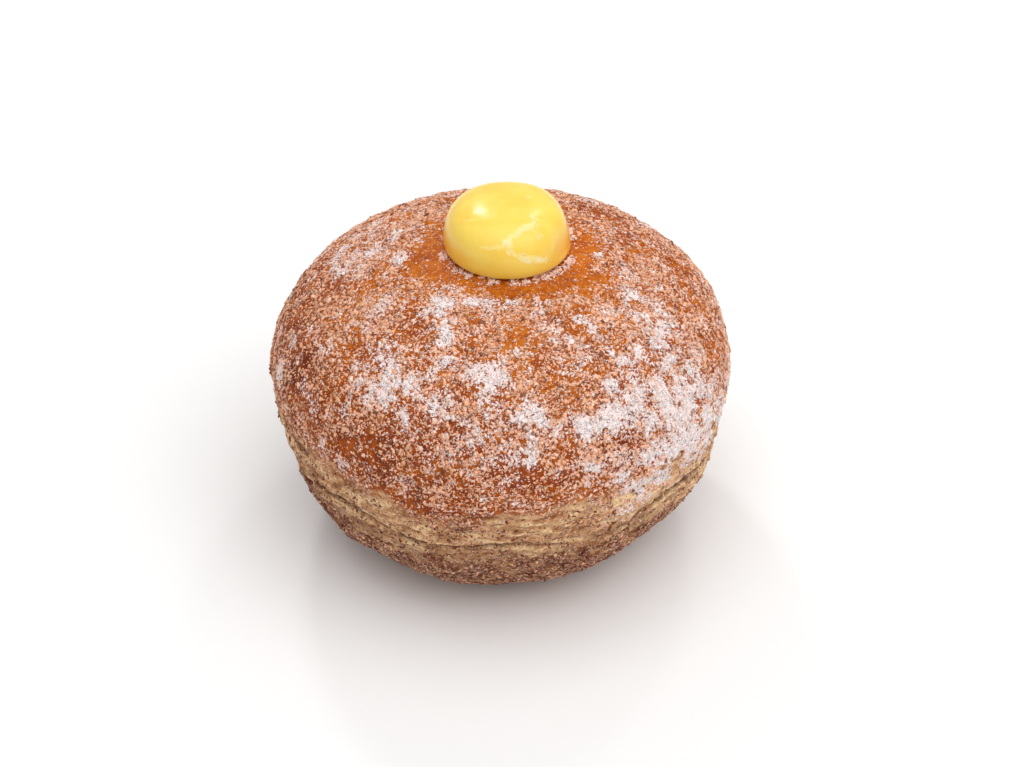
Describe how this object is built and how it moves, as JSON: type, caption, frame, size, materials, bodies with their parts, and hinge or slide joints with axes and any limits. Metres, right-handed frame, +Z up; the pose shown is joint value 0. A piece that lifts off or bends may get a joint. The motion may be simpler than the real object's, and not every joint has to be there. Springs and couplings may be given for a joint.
{
  "type": "custard filled doughnut",
  "caption": "Round puffy fried doughnut, rolled in sugar, with a dollop of yellow custard piped into its top.",
  "frame": {"origin": "on the table, at the middle of the doughnut's base", "axes": "+Z up through the custard, -Y toward the side that the picture shows as the front, +X to its right"},
  "size_m": [0.0903, 0.0908, 0.0724],
  "materials": {
    "crust": "matte fried crust, orange brown above and pale beige round the waist",
    "custard": "smooth, soft and slightly glossy",
    "sugar": "fine white grains that stick to the crust"
  },
  "bodies": {
    "root": {"dough": "crust", "custard": "custard"}
  },
  "joints": []
}
